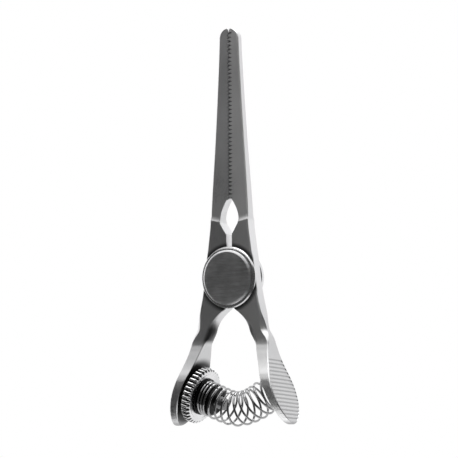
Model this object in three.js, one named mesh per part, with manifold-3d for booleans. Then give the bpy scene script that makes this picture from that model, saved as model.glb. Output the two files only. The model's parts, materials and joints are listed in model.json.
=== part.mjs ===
// Adjustable-tension bulldog clamp: two half-lapped arms on one pivot, serrated jaws at the top,
// finger plates at the bottom, and a bowed compression spring between a knurled wheel and the far plate.
// Millimetres. +Z runs up the jaws, the front faces -Y, and the pivot axis lies along Y.
// The design is laid out about the arms' middle plane, and the whole group is then moved so that
// the origin is the centre of the pivot nut's flat rear face.
import * as THREE from 'three';
import { mergeVertices } from 'three/addons/utils/BufferGeometryUtils.js';
import Module from 'manifold-3d';

const wasm = await Module();
wasm.setup();

// Arms
const TIP_Z = 50;
const TIP_CORNER = 2.0;
const TIP_HALF_WIDTH = 2.2;
const TIP_GAP = 0.12;
const TOOTH_PITCH = 0.806;
const TOOTH_DEPTH = 0.6;
const TOOTH_COUNT = 41;
const TEETH_TOP_Z = 49.0;
const JAW_GAP = 0.08;
const SLIT_HALF_WIDTH = 0.62;
const STOP_HALF_WIDTH = 0.53;
const LENS_HALF_WIDTH = 2.12;
const ARM_HALF_THICKNESS = 1.45;
const LAP_GAP = 0.06;
const LUG_RADIUS = 5.2;
const LUG_CLEARANCE = 0.25;
const PLATE_TIP_Z = -29.4;

// Ribs on the outer face of each finger plate
const RIB_COUNT = 16;
const RIB_TOP_Z = -16.4;
const RIB_PITCH = 0.77;
const RIB_DEPTH = 0.2;

// Pivot
const SEAT_GAP = 0.03;
const BUSH_OUTER_RADIUS = 2.4;
const BUSH_INNER_RADIUS = 1.8;
const RUNNING_CLEARANCE = 0.05;
const HEAD_RADIUS = 5.5;
const HEAD_THICKNESS = 0.45;
const HEAD_BEVEL = 0.4;
const RING_RADIUS = 6.2;
const RING_THICKNESS = 0.6;
const REAR_WASHER_RADIUS = 5.3;
const REAR_WASHER_THICKNESS = 0.3;
const NUT_RADIUS = 5.7;
const NUT_THICKNESS = 1.0;
const NUT_BORE_DEPTH = 0.6;
const BEVEL = 0.2;

// Tension adjuster on the left plate. Distances run along the stud from the plate's inner face.
const PLATE_LEAN = THREE.MathUtils.degToRad(19);
const STUD_FOOT = new THREE.Vector3(-9.62, 0, -22.7);
const STUD_RADIUS = 1.3;
const STUD_LENGTH = 8.3;
const STUD_ROOT = 1.1;
const WHEEL_START = 0.9;
const WHEEL_THICKNESS = 2.0;
const WHEEL_RADIUS = 5.8;
const WHEEL_TOOTH_DEPTH = 0.4;
const WHEEL_TEETH = 36;
const COLLAR_RADIUS = 3.75;
const COLLAR_THICKNESS = 0.2;
const COLLAR_SLEEVE_RADIUS = 2.9;
const COLLAR_LENGTH = 3.2;

// Spring and its seat on the right plate
const SEAT_FOOT = new THREE.Vector3(9.66, 0, -22.8);
const SEAT_RADIUS = 3.5;
const SEAT_THICKNESS = 0.35;
const SEAT_SPIGOT_RADIUS = 2.2;
const SEAT_SPIGOT_LENGTH = 1.3;
const SEAT_ROOT_RADIUS = 1.0;
const SEAT_ROOT = 0.7;
const WIRE_RADIUS = 0.225;
const COIL_RADIUS = 3.32;
const CLOSED_TURNS = 2.5;
const OPEN_TURNS = 9.5;
const END_TURNS = 1;
const CLOSED_PITCH = 0.7;
const WIRE_STEPS_PER_TURN = 14;

const ROUND = 48;

const steel = (colour, roughness) => new THREE.MeshStandardMaterial({ color: colour, roughness, metalness: 1 });

// --- solids ---------------------------------------------------------------------------------

function solidOf(geometry) {
  const bare = geometry.index ? geometry.toNonIndexed() : geometry.clone();
  bare.deleteAttribute('normal');
  bare.deleteAttribute('uv');
  const merged = mergeVertices(bare, 1e-5);
  return new wasm.Manifold(new wasm.Mesh({
    numProp: 3,
    vertProperties: new Float32Array(merged.attributes.position.array),
    triVerts: new Uint32Array(merged.index.array),
  }));
}

function geometryOf(solid) {
  const mesh = solid.getMesh();
  const geometry = new THREE.BufferGeometry();
  geometry.setAttribute('position', new THREE.BufferAttribute(new Float32Array(mesh.vertProperties), 3));
  geometry.setIndex(new THREE.BufferAttribute(new Uint32Array(mesh.triVerts), 1));
  return geometry;
}

// A shape drawn in x and z, extruded from y0 to y1.
function prismAlongY(shape, y0, y1) {
  const geometry = new THREE.ExtrudeGeometry(shape, { depth: y1 - y0, bevelEnabled: false, curveSegments: 8 });
  geometry.rotateX(Math.PI / 2);
  geometry.translate(0, y1, 0);
  return geometry;
}

// A shape drawn in y and z, extruded from x0 to x1.
function prismAlongX(shape, x0, x1) {
  const geometry = new THREE.ExtrudeGeometry(shape, { depth: x1 - x0, bevelEnabled: false, curveSegments: 8 });
  const turn = new THREE.Matrix4().makeBasis(
    new THREE.Vector3(0, 1, 0),
    new THREE.Vector3(0, 0, 1),
    new THREE.Vector3(1, 0, 0),
  );
  geometry.applyMatrix4(turn);
  geometry.translate(x0, 0, 0);
  return geometry;
}

// A disc or rod about the pivot axis, from y0 to y1.
function discAlongY(radius, y0, y1) {
  const geometry = new THREE.CylinderGeometry(radius, radius, y1 - y0, ROUND);
  geometry.translate(0, (y0 + y1) / 2, 0);
  return geometry;
}

// A turned piece: the profile lists [radius, height] and is spun about the local Y axis.
function turned(profile) {
  return new THREE.LatheGeometry(profile.map(([r, h]) => new THREE.Vector2(r, h)), ROUND);
}

// --- arms -----------------------------------------------------------------------------------

// The jaw edge of the right arm, from the tip down to the last tooth. phase 0.5 gives the meshing half.
function addTeeth(points, phase) {
  for (let i = 0; i <= 2 * TOOTH_COUNT; i += 1) {
    const z = TEETH_TOP_Z - (i * TOOTH_PITCH) / 2;
    const crest = (i + 2 * phase) % 2 === 0 ? 1 : -1;
    points.push([JAW_GAP / 2 + (crest * TOOTH_DEPTH) / 2, z]);
  }
}

// Side of the finger plate, as [z, inner x, outer x].
const PLATE_SECTIONS = [
  [-13.5, 6.1, 9.0],
  [-15.2, 6.65, 9.27],
  [-17.0, 7.29, 9.74],
  [-19.5, 8.24, 10.52],
  [-21.5, 9.13, 11.12],
  [-23.5, 9.93, 11.8],
  [-25.8, 10.76, 12.6],
  [-27.8, 11.55, 13.3],
  [PLATE_TIP_Z, 12.3, 13.85],
];

const outerEdge = (z) => {
  const row = PLATE_SECTIONS.findIndex((section, i) => i > 0 && z >= section[0]);
  const [z0, , x0] = PLATE_SECTIONS[row - 1];
  const [z1, , x1] = PLATE_SECTIONS[row];
  return x0 + ((x1 - x0) * (z - z0)) / (z1 - z0);
};

// The ribbed outer face of the plate: one shallow groove and one flat crest for each rib.
function addRibs(points) {
  for (let i = 0; i < RIB_COUNT; i += 1) {
    const top = RIB_TOP_Z - i * RIB_PITCH;
    points.push([outerEdge(top), top]);
    points.push([outerEdge(top - 0.2 * RIB_PITCH) - RIB_DEPTH, top - 0.2 * RIB_PITCH]);
    points.push([outerEdge(top - 0.4 * RIB_PITCH), top - 0.4 * RIB_PITCH]);
  }
}

// Front outline of the right arm in x and z, clockwise from the first tooth.
function armOutline(phase) {
  const shape = new THREE.Shape();
  shape.moveTo(TIP_GAP, TIP_Z);
  shape.lineTo(TIP_HALF_WIDTH - TIP_CORNER, TIP_Z);
  shape.absarc(TIP_HALF_WIDTH - TIP_CORNER, TIP_Z - TIP_CORNER, TIP_CORNER, Math.PI / 2, 0, true);
  const outer = [
    [2.3, 45.4], [3.2, 29.5], [4.15, 15.5], [4.4, 10.8], [4.93, 6.5], [5.3, 3.9],
    [6.12, -2.35], [7.02, -6.5], [7.62, -8.6], [8.05, -10.3], [8.85, -12.4],
  ];
  for (const [x, z] of outer) shape.lineTo(x, z);
  for (const [z, , x] of PLATE_SECTIONS.slice(0, 2)) shape.lineTo(x, z);
  const ribs = [];
  addRibs(ribs);
  for (const [x, z] of ribs) shape.lineTo(x, z);
  shape.lineTo(13.72, -29.1);
  shape.lineTo(13.5, PLATE_TIP_Z);
  for (const [z, x] of [...PLATE_SECTIONS].reverse()) shape.lineTo(x, z);
  shape.quadraticCurveTo(5.3, -11.8, 4.6, -10.1);
  shape.quadraticCurveTo(3.6, -8.0, 1.15, -6.3);
  shape.lineTo(STOP_HALF_WIDTH, -5.6);
  shape.lineTo(STOP_HALF_WIDTH, -1);
  shape.lineTo(SLIT_HALF_WIDTH, 1);
  shape.lineTo(SLIT_HALF_WIDTH, 8.7);
  shape.lineTo(2.02, 10.9);
  shape.quadraticCurveTo(LENS_HALF_WIDTH + 0.2, 12.6, 1.3, 14.4);
  shape.quadraticCurveTo(0.85, 15.3, 0.45, 15.75);
  const teeth = [];
  addTeeth(teeth, phase);
  for (const [x, z] of teeth.reverse()) shape.lineTo(x, z);
  return shape;
}

// Side outline of an arm in y and z: half-thickness from the tip to the finger plate's round end.
function thicknessOutline() {
  const rows = [
    [0.75, TIP_Z], [0.9, 29], [1.12, 15], [1.2, 11.9], [ARM_HALF_THICKNESS, 11.1],
    [ARM_HALF_THICKNESS, -11.0], [1.6, -12.2], [2.05, -13.5], [2.35, -15.2], [2.9, -17],
    [3.55, -18.3], [4.3, -19.8], [4.72, -21.2], [4.88, -22.6], [4.75, -24.2], [4.2, -25.8],
    [3.4, -27], [2.35, -28.1], [1.3, -28.9], [0.5, -29.3],
  ];
  const shape = new THREE.Shape();
  shape.moveTo(-rows[0][0], rows[0][1]);
  for (const [y, z] of rows.slice(1)) shape.lineTo(-y, z);
  shape.lineTo(0, PLATE_TIP_Z);
  for (const [y, z] of [...rows].reverse()) shape.lineTo(y, z);
  return shape;
}

// One arm, drawn as the right one. lapSide is the half of the thickness that its round lug keeps:
// +1 for the rear half and -1 for the front half. The other half is cleared for the other arm's lug.
function armSolid(phase, lapSide) {
  const reach = 6;
  const blank = solidOf(prismAlongY(armOutline(phase), -reach, reach))
    .intersect(solidOf(prismAlongX(thicknessOutline(), -1, 15)));
  const outside = lapSide * ARM_HALF_THICKNESS;
  const middle = (lapSide * LAP_GAP) / 2;
  const lug = solidOf(discAlongY(LUG_RADIUS, Math.min(outside, middle), Math.max(outside, middle)));
  const cleared = solidOf(lapSide > 0
    ? discAlongY(LUG_RADIUS + LUG_CLEARANCE, -reach, middle)
    : discAlongY(LUG_RADIUS + LUG_CLEARANCE, middle, reach));
  const bore = solidOf(discAlongY(BUSH_OUTER_RADIUS + RUNNING_CLEARANCE, -reach, reach));
  return blank.subtract(cleared).add(lug).subtract(bore);
}

// A cylinder whose axis starts at foot and runs along direction, from distance a to distance b.
function rodSolid(foot, direction, radius, a, b) {
  const geometry = new THREE.CylinderGeometry(radius, radius, b - a, ROUND);
  const turn = new THREE.Quaternion().setFromUnitVectors(new THREE.Vector3(0, 1, 0), direction);
  geometry.translate(0, (a + b) / 2, 0);
  geometry.applyQuaternion(turn);
  geometry.translate(foot.x, foot.y, foot.z);
  return solidOf(geometry);
}

const STUD_AXIS = new THREE.Vector3(Math.cos(PLATE_LEAN), 0, -Math.sin(PLATE_LEAN));
const SEAT_AXIS = new THREE.Vector3(-Math.cos(PLATE_LEAN), 0, -Math.sin(PLATE_LEAN));

// The spring seat stands in a blind hole, on a shallow round flat cut square to its axis.
function rightArm() {
  const seatHole = rodSolid(SEAT_FOOT, SEAT_AXIS, SEAT_ROOT_RADIUS + SEAT_GAP, -SEAT_ROOT - SEAT_GAP, 3);
  const seatFlat = rodSolid(SEAT_FOOT, SEAT_AXIS, SEAT_RADIUS + 0.15, 0, 3);
  return armSolid(0, 1).subtract(seatHole).subtract(seatFlat);
}

function leftArm() {
  const studHole = rodSolid(STUD_FOOT, STUD_AXIS, STUD_RADIUS + SEAT_GAP, -STUD_ROOT - SEAT_GAP, 3);
  return armSolid(0.5, -1).mirror([1, 0, 0]).subtract(studHole);
}

// --- pivot ----------------------------------------------------------------------------------

const FRONT_FACE_Y = -ARM_HALF_THICKNESS - SEAT_GAP;
const RING_FRONT_Y = FRONT_FACE_Y - RING_THICKNESS;
const HEAD_BACK_Y = RING_FRONT_Y - SEAT_GAP;
const HEAD_FRONT_Y = HEAD_BACK_Y - HEAD_THICKNESS;
const REAR_WASHER_Y = ARM_HALF_THICKNESS + SEAT_GAP;
const NUT_FRONT_Y = REAR_WASHER_Y + REAR_WASHER_THICKNESS + SEAT_GAP;
const NUT_REAR_Y = NUT_FRONT_Y + NUT_THICKNESS;
const SCREW_END_Y = NUT_FRONT_Y + NUT_BORE_DEPTH - 2 * SEAT_GAP;
const SCREW_RADIUS = BUSH_INNER_RADIUS - SEAT_GAP;

const pivotScrew = () => turned([
  [0, HEAD_FRONT_Y], [HEAD_RADIUS - HEAD_BEVEL, HEAD_FRONT_Y], [HEAD_RADIUS, HEAD_FRONT_Y + BEVEL],
  [HEAD_RADIUS, HEAD_BACK_Y], [SCREW_RADIUS, HEAD_BACK_Y], [SCREW_RADIUS, SCREW_END_Y], [0, SCREW_END_Y],
]);

const ringWasher = (inner, outer, y0, y1, bevel) => turned([
  [inner, y0], [outer - bevel, y0], [outer, y0 + bevel], [outer, y1], [inner, y1], [inner, y0],
]);

const pivotNut = () => turned([
  [0, NUT_FRONT_Y + NUT_BORE_DEPTH], [BUSH_INNER_RADIUS, NUT_FRONT_Y + NUT_BORE_DEPTH],
  [BUSH_INNER_RADIUS, NUT_FRONT_Y], [NUT_RADIUS, NUT_FRONT_Y],
  [NUT_RADIUS, NUT_REAR_Y - BEVEL], [NUT_RADIUS - BEVEL, NUT_REAR_Y], [0, NUT_REAR_Y],
]);

// --- tension adjuster -------------------------------------------------------------------------

// Turned pieces on the stud or the seat: local +Y runs along the given axis from the given foot.
function placeOnAxis(mesh, foot, axis) {
  mesh.quaternion.setFromUnitVectors(new THREE.Vector3(0, 1, 0), axis);
  mesh.position.copy(foot);
  return mesh;
}

// Knurled wheel: straight teeth round the rim and a plain bore, drawn in x and z about the local Y axis.
function wheelGeometry() {
  const rim = new THREE.Shape();
  for (let i = 0; i < WHEEL_TEETH; i += 1) {
    for (const [step, drop] of [[0, 0], [0.35, 0], [0.6, 1], [0.75, 1]]) {
      const angle = ((i + step) / WHEEL_TEETH) * 2 * Math.PI;
      const radius = WHEEL_RADIUS - drop * WHEEL_TOOTH_DEPTH;
      const point = [radius * Math.cos(angle), radius * Math.sin(angle)];
      if (i === 0 && step === 0) rim.moveTo(...point);
      else rim.lineTo(...point);
    }
  }
  const bore = new THREE.Path();
  bore.absarc(0, 0, STUD_RADIUS + RUNNING_CLEARANCE, 0, 2 * Math.PI, true);
  rim.holes.push(bore);
  const geometry = new THREE.ExtrudeGeometry(rim, { depth: WHEEL_THICKNESS, bevelEnabled: false, curveSegments: 24 });
  geometry.rotateX(Math.PI / 2);
  geometry.translate(0, WHEEL_START + WHEEL_THICKNESS, 0);
  return geometry;
}

const COLLAR_START = WHEEL_START + WHEEL_THICKNESS + SEAT_GAP;
const collarGeometry = () => turned([
  [STUD_RADIUS + RUNNING_CLEARANCE, COLLAR_START], [COLLAR_RADIUS, COLLAR_START],
  [COLLAR_RADIUS, COLLAR_START + COLLAR_THICKNESS],
  [COLLAR_SLEEVE_RADIUS, COLLAR_START + COLLAR_THICKNESS],
  [COLLAR_SLEEVE_RADIUS, COLLAR_START + COLLAR_LENGTH],
  [STUD_RADIUS + RUNNING_CLEARANCE, COLLAR_START + COLLAR_LENGTH],
  [STUD_RADIUS + RUNNING_CLEARANCE, COLLAR_START],
]);

const studGeometry = () => turned([
  [0, -STUD_ROOT], [STUD_RADIUS, -STUD_ROOT], [STUD_RADIUS, STUD_LENGTH - 0.3],
  [STUD_RADIUS - 0.3, STUD_LENGTH], [0, STUD_LENGTH],
]);

const SEAT_TOP = SEAT_GAP + SEAT_THICKNESS;
const seatGeometry = () => turned([
  [0, -SEAT_ROOT], [SEAT_ROOT_RADIUS, -SEAT_ROOT], [SEAT_ROOT_RADIUS, SEAT_GAP],
  [SEAT_RADIUS, SEAT_GAP], [SEAT_RADIUS, SEAT_TOP],
  [SEAT_SPIGOT_RADIUS, SEAT_TOP], [SEAT_SPIGOT_RADIUS, SEAT_SPIGOT_LENGTH], [0, SEAT_SPIGOT_LENGTH],
]);

// --- spring -----------------------------------------------------------------------------------

const alongAxis = (foot, axis, distance) => foot.clone().addScaledVector(axis, distance);
const SPRING_START = COLLAR_START + COLLAR_THICKNESS + WIRE_RADIUS + 0.03;
const SPRING_END = SEAT_TOP + WIRE_RADIUS + 0.08;

// The bowed line that the coils follow: it leaves the wheel square, sags, and rises square to the seat.
const springLine = new THREE.CatmullRomCurve3([
  alongAxis(STUD_FOOT, STUD_AXIS, SPRING_START),
  alongAxis(STUD_FOOT, STUD_AXIS, SPRING_START + 1.5),
  new THREE.Vector3(-2.5, 0, -25.35),
  new THREE.Vector3(0.9, 0, -26.2),
  new THREE.Vector3(4.6, 0, -25.3),
  alongAxis(SEAT_FOOT, SEAT_AXIS, SPRING_END + 0.9),
  alongAxis(SEAT_FOOT, SEAT_AXIS, SPRING_END),
], false, 'centripetal');

class CoilCurve extends THREE.Curve {
  constructor() {
    super();
    this.length = springLine.getLength();
    this.turns = CLOSED_TURNS + OPEN_TURNS + END_TURNS;
    this.openPitch = (this.length - (CLOSED_TURNS + END_TURNS) * CLOSED_PITCH) / OPEN_TURNS;
  }

  // How far along the bowed line the wire has come after a number of turns.
  advance(turn) {
    const closed = Math.min(turn, CLOSED_TURNS) * CLOSED_PITCH;
    const open = THREE.MathUtils.clamp(turn - CLOSED_TURNS, 0, OPEN_TURNS) * this.openPitch;
    const end = Math.max(turn - CLOSED_TURNS - OPEN_TURNS, 0) * CLOSED_PITCH;
    return closed + open + end;
  }

  getPoint(t, target = new THREE.Vector3()) {
    const turn = t * this.turns;
    const u = THREE.MathUtils.clamp(this.advance(turn) / this.length, 0, 1);
    const centre = springLine.getPointAt(u);
    const along = springLine.getTangentAt(u);
    const angle = turn * 2 * Math.PI;
    const up = new THREE.Vector3(-along.z, 0, along.x);
    return target.copy(centre)
      .addScaledVector(up, COIL_RADIUS * Math.cos(angle))
      .add(new THREE.Vector3(0, -COIL_RADIUS * Math.sin(angle), 0));
  }
}

function springGeometry() {
  const coil = new CoilCurve();
  const section = new THREE.Shape();
  section.absarc(0, 0, WIRE_RADIUS, 0, 2 * Math.PI, false);
  return new THREE.ExtrudeGeometry(section, {
    steps: Math.round(coil.turns * WIRE_STEPS_PER_TURN),
    extrudePath: coil,
    curveSegments: 4,
    bevelEnabled: false,
  });
}

// --- assembly ---------------------------------------------------------------------------------

const clamp = new THREE.Group();
clamp.position.y = -NUT_REAR_Y;

function addPiece(name, geometry, material) {
  const mesh = new THREE.Mesh(geometry, material);
  mesh.name = name;
  clamp.add(mesh);
  return mesh;
}

addPiece('left_arm', geometryOf(leftArm()), steel(0x8f9193, 0.34));
addPiece('right_arm', geometryOf(rightArm()), steel(0x989a9c, 0.34));
addPiece('pivot_screw', pivotScrew(), steel(0x7c7e80, 0.3));
addPiece('front_ring', ringWasher(BUSH_INNER_RADIUS, RING_RADIUS, RING_FRONT_Y, FRONT_FACE_Y, BEVEL), steel(0xc4c6c8, 0.2));
addPiece(
  'pivot_bush',
  ringWasher(BUSH_INNER_RADIUS, BUSH_OUTER_RADIUS, FRONT_FACE_Y + SEAT_GAP, REAR_WASHER_Y - SEAT_GAP, 0),
  steel(0xb0a070, 0.4),
);
addPiece(
  'rear_washer',
  ringWasher(BUSH_INNER_RADIUS, REAR_WASHER_RADIUS, REAR_WASHER_Y, REAR_WASHER_Y + REAR_WASHER_THICKNESS, 0),
  steel(0xa8aaac, 0.35),
);
addPiece('pivot_nut', pivotNut(), steel(0xb8babc, 0.25));
placeOnAxis(addPiece('adjusting_stud', studGeometry(), steel(0x9a9c9e, 0.35)), STUD_FOOT, STUD_AXIS);
placeOnAxis(addPiece('adjusting_wheel', wheelGeometry(), steel(0xc8cacc, 0.22)), STUD_FOOT, STUD_AXIS);
placeOnAxis(addPiece('spring_collar', collarGeometry(), steel(0xb4b6b8, 0.3)), STUD_FOOT, STUD_AXIS);
addPiece('tension_spring', springGeometry(), steel(0xd0d2d4, 0.18));
placeOnAxis(addPiece('spring_seat', seatGeometry(), steel(0xb4b6b8, 0.3)), SEAT_FOOT, SEAT_AXIS);

export default clamp;
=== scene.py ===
"""Looks of an adjustable bulldog clamp: satin steel arms, a brushed screw head, a knurled wheel
and a bowed spring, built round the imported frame."""

import json
import math

import bmesh
import bpy
from mathutils import Matrix, Vector


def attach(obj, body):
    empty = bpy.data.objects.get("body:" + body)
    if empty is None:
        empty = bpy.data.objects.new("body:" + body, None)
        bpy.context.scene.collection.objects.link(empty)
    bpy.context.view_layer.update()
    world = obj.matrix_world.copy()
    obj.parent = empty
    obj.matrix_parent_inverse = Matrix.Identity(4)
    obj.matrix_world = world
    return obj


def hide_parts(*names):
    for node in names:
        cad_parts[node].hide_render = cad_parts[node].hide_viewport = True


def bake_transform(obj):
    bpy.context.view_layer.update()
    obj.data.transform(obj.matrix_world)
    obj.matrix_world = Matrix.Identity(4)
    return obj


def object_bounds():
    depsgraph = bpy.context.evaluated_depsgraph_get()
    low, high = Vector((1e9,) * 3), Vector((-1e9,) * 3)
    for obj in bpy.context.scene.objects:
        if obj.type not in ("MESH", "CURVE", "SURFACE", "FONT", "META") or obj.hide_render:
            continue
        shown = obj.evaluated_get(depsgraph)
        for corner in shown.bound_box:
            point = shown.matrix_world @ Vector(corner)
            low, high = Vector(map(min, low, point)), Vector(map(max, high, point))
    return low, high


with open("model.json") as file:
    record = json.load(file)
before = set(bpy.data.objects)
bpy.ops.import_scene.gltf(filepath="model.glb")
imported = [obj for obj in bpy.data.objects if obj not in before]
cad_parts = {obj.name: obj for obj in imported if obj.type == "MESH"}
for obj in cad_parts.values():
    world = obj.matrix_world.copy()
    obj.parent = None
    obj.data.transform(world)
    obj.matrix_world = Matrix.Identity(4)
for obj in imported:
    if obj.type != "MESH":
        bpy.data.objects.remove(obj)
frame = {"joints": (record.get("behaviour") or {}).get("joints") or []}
CAD_BOX = [list(corner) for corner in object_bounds()]

MM = 0.001
TINY = 1e-6
JOINTS = {joint["name"]: joint for joint in frame["joints"]}
PIVOT = Vector(JOINTS["jaw_pivot"]["pos_m"])
STUD_FOOT = Vector(JOINTS["wheel_spin"]["pos_m"])
STUD_AXIS = Vector(JOINTS["wheel_spin"]["axis"]).normalized()
SEAT_AXIS = Vector((-STUD_AXIS.x, 0, STUD_AXIS.z))
SEAT_FOOT = PIVOT + Vector((9.66, 0, -22.8)) * MM
FRONT = Vector((0, -1, 0))

# --- camera ------------------------------------------------------------------------------------
# The clamp is seen from the front right, a little from below and turned slightly anticlockwise.
AZIMUTH = math.radians(30.87)
ELEVATION = math.radians(-3.15)
ROLL = math.radians(0.6)
DISTANCE = 0.77
LENS = 302.6
SHIFT = (-0.00744, -0.00257)
SENSOR_WIDTH = 36
CLIP_START = 0.05
CLIP_END = 20
AIM = PIVOT + Vector((0, 0, 10)) * MM


def make_camera():
    right = Vector((math.cos(AZIMUTH), math.sin(AZIMUTH), 0))
    back = Vector((
        math.sin(AZIMUTH) * math.cos(ELEVATION),
        -math.cos(AZIMUTH) * math.cos(ELEVATION),
        math.sin(ELEVATION),
    ))
    up = back.cross(right)
    turned_right = right * math.cos(ROLL) - up * math.sin(ROLL)
    turned_up = right * math.sin(ROLL) + up * math.cos(ROLL)
    data = bpy.data.cameras.new("camera")
    data.lens = LENS
    data.sensor_width = SENSOR_WIDTH
    data.shift_x, data.shift_y = SHIFT
    data.clip_start, data.clip_end = CLIP_START, CLIP_END
    camera = bpy.data.objects.new("camera", data)
    bpy.context.scene.collection.objects.link(camera)
    rotation = Matrix((turned_right, turned_up, back)).transposed().to_4x4()
    camera.matrix_world = Matrix.Translation(AIM + back * DISTANCE) @ rotation
    bpy.context.scene.camera = camera


# --- materials ---------------------------------------------------------------------------------
WAVES_PER_SCALE = 3.2


class Nodes:
    """A small helper that adds and links nodes in one material."""

    def __init__(self, name):
        self.material = bpy.data.materials.new(name)
        self.material.use_nodes = True
        self.tree = self.material.node_tree
        self.shader = self.tree.nodes["Principled BSDF"]

    def add(self, kind, inputs=None, **settings):
        node = self.tree.nodes.new(kind)
        for key, value in settings.items():
            setattr(node, key, value)
        for key, value in (inputs or {}).items():
            if isinstance(value, bpy.types.NodeSocket):
                self.tree.links.new(value, node.inputs[key])
            else:
                node.inputs[key].default_value = value
        return node

    def ramp(self, factor, stops):
        node = self.add("ShaderNodeValToRGB", {"Fac": factor})
        elements = node.color_ramp.elements
        while len(elements) < len(stops):
            elements.new(0.5)
        for element, (position, colour) in zip(elements, stops):
            element.position = position
            element.color = (*colour, 1)
        return node.outputs["Color"]

    def spread(self, value, low, high, start=0.3, end=0.7):
        node = self.add("ShaderNodeMapRange", {
            "Value": value, "From Min": start, "From Max": end, "To Min": low, "To Max": high,
        })
        return node.outputs["Result"]

    def noise(self, per_mm, detail=4, roughness=0.6, distortion=0.0):
        """Noise in the piece's own coordinates; per_mm is its cells per millimetre along x, y and z."""
        coordinates = self.add("ShaderNodeTexCoord").outputs["Object"]
        scaled = self.add("ShaderNodeMapping", {
            "Vector": coordinates, "Scale": [cells / MM for cells in per_mm],
        })
        return self.add("ShaderNodeTexNoise", {
            "Vector": scaled.outputs["Vector"], "Scale": 1.0, "Detail": detail,
            "Roughness": roughness, "Distortion": distortion,
        }).outputs["Fac"]

    def rings(self, per_mm):
        """Fine turning marks about the piece's own Z axis."""
        coordinates = self.add("ShaderNodeTexCoord").outputs["Object"]
        return self.add("ShaderNodeTexWave", {
            "Vector": coordinates, "Scale": per_mm / MM / WAVES_PER_SCALE,
            "Distortion": 1.2, "Detail": 3.0, "Detail Scale": 1.4,
        }, wave_type="RINGS", rings_direction="Z").outputs["Fac"]

    def bump(self, layers):
        """Stacks (height, strength, depth in metres) layers onto the shader's normal."""
        normal = None
        for height, strength, depth in layers:
            inputs = {"Height": height, "Strength": strength, "Distance": depth}
            if normal is not None:
                inputs["Normal"] = normal
            normal = self.add("ShaderNodeBump", inputs).outputs["Normal"]
        self.tree.links.new(normal, self.shader.inputs["Normal"])

    def finish(self, colour, roughness):
        self.shader.inputs["Metallic"].default_value = 1.0
        self.tree.links.new(colour, self.shader.inputs["Base Color"])
        self.tree.links.new(roughness, self.shader.inputs["Roughness"])
        return self.material


def grey(value):
    """A neutral grey with a trace of blue."""
    return (value, value, value * 1.01)


def satin_steel(name, tone, rough, grain, scratch, contrast=0.2, shaded=True):
    """Ground and blasted steel: a fine grain, faint long scratches and slow patches.
    shaded materials are toned down by the contact light that is painted on the arms."""
    n = Nodes(name)
    fine = n.noise(grain, 3, 0.7)
    long_marks = n.noise(scratch, 4, 0.65)
    patches = n.noise((0.11, 0.11, 0.07), 3, 0.55, 0.4)
    mixed = n.add("ShaderNodeMath", {0: fine, 1: long_marks}, operation="MULTIPLY_ADD")
    n.tree.links.new(patches, mixed.inputs[2])
    colour = n.ramp(mixed.outputs["Value"], [
        (0.3, grey(tone * (1 - contrast))),
        (0.62, grey(tone)),
        (0.95, grey(min(tone * (1 + contrast), 1))),
    ])
    if shaded:
        light = n.add("ShaderNodeAttribute", attribute_name="shade").outputs["Fac"]
        colour = n.add("ShaderNodeVectorMath", {0: colour, 3: light}, operation="SCALE").outputs["Vector"]
    roughness = n.spread(mixed.outputs["Value"], rough - 0.06, rough + 0.08, 0.4, 1.1)
    n.bump([(long_marks, 0.35, 4e-6), (fine, 0.6, 6e-6)])
    return n.finish(colour, roughness)


def turned_steel(name, tone, rough, marks):
    """Polished turned steel with concentric marks round the piece's own axis."""
    n = Nodes(name)
    rings = n.rings(marks)
    patches = n.noise((0.5, 0.5, 0.5), 4, 0.6, 0.3)
    colour = n.ramp(patches, [(0.3, grey(tone * 0.88)), (0.7, grey(tone * 1.05))])
    roughness = n.spread(patches, rough - 0.04, rough + 0.07)
    n.bump([(rings, 0.25, 1.5e-6), (patches, 0.2, 6e-6)])
    return n.finish(colour, roughness)


def wire_steel(name, tone, rough):
    """Drawn spring wire: nearly a mirror, with faint drawing marks and tarnished patches."""
    n = Nodes(name)
    patches = n.noise((1.2, 1.2, 1.2), 4, 0.6)
    marks = n.noise((9, 9, 9), 2, 0.5)
    colour = n.ramp(patches, [(0.28, grey(tone * 0.8)), (0.6, grey(tone))])
    roughness = n.spread(patches, rough - 0.03, rough + 0.09)
    n.bump([(marks, 0.2, 2e-6)])
    return n.finish(colour, roughness)


# Cells per millimetre of each steel's grain and of its scratches, along x, y and z.
ARM_GRAIN = (3.0, 3.0, 3.0)
ARM_SCRATCHES = (2.5, 2.5, 0.5)
TOOTH_GRAIN = (6, 6, 6)
TOOTH_SCRATCHES = (3, 3, 3)
HEAD_GRAIN = (0.7, 5, 1)
HEAD_SCRATCHES = (0.2, 2.2, 1)

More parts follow.
